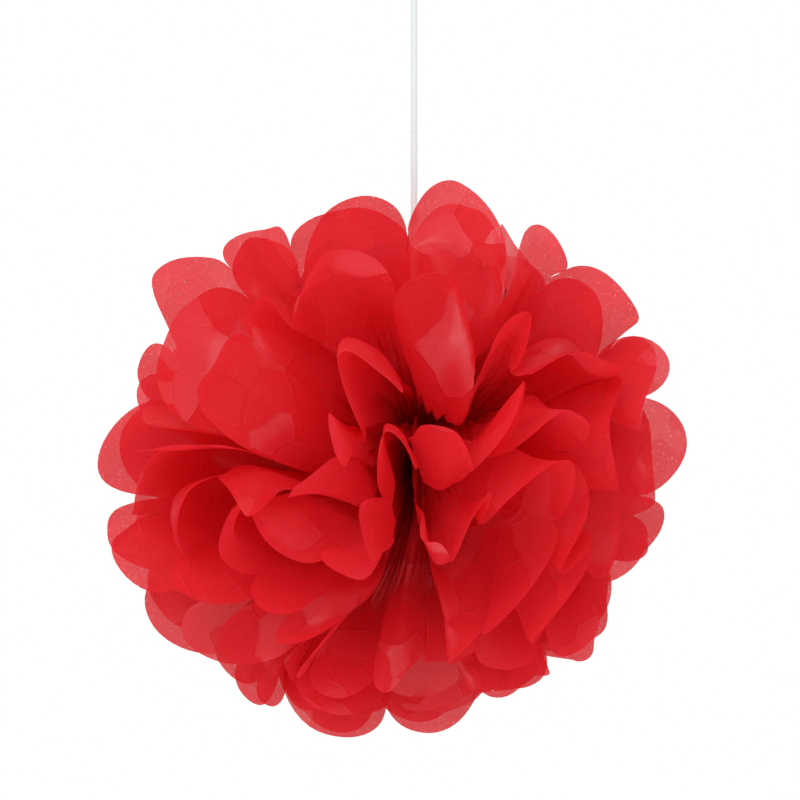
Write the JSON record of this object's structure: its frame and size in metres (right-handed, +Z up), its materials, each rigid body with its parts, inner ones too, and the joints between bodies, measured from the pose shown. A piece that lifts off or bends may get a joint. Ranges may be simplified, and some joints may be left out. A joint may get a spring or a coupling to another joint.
{
  "type": "tissue paper pom-pom",
  "caption": "Ball of red tissue paper petals, pleated sheets tied at the middle and opened layer by layer, hanging on a flat white ribbon with a knotted loop.",
  "frame": {"origin": "inside top of the ribbon's loop, where the pom-pom hangs", "axes": "+Z up along the ribbon, X along the tied strip, -Y towards the front pole of the ball, the side that the picture shows"},
  "size_m": [0.4066, 0.3922, 0.556],
  "materials": {
    "tissue": "matt tissue with fine crinkles, light shows through a single layer",
    "tie_wire": "thin bare wire",
    "ribbon": "soft sheen, a little see-through"
  },
  "bodies": {
    "root": {"tissue_sheet_1": "tissue", "tissue_sheet_2": "tissue", "tissue_sheet_3": "tissue", "tissue_sheet_4": "tissue", "tissue_sheet_5": "tissue", "tissue_sheet_6": "tissue", "tissue_sheet_7": "tissue", "tissue_sheet_8": "tissue", "centre_tie": "tie_wire", "hanging_ribbon": "ribbon"}
  },
  "joints": []
}
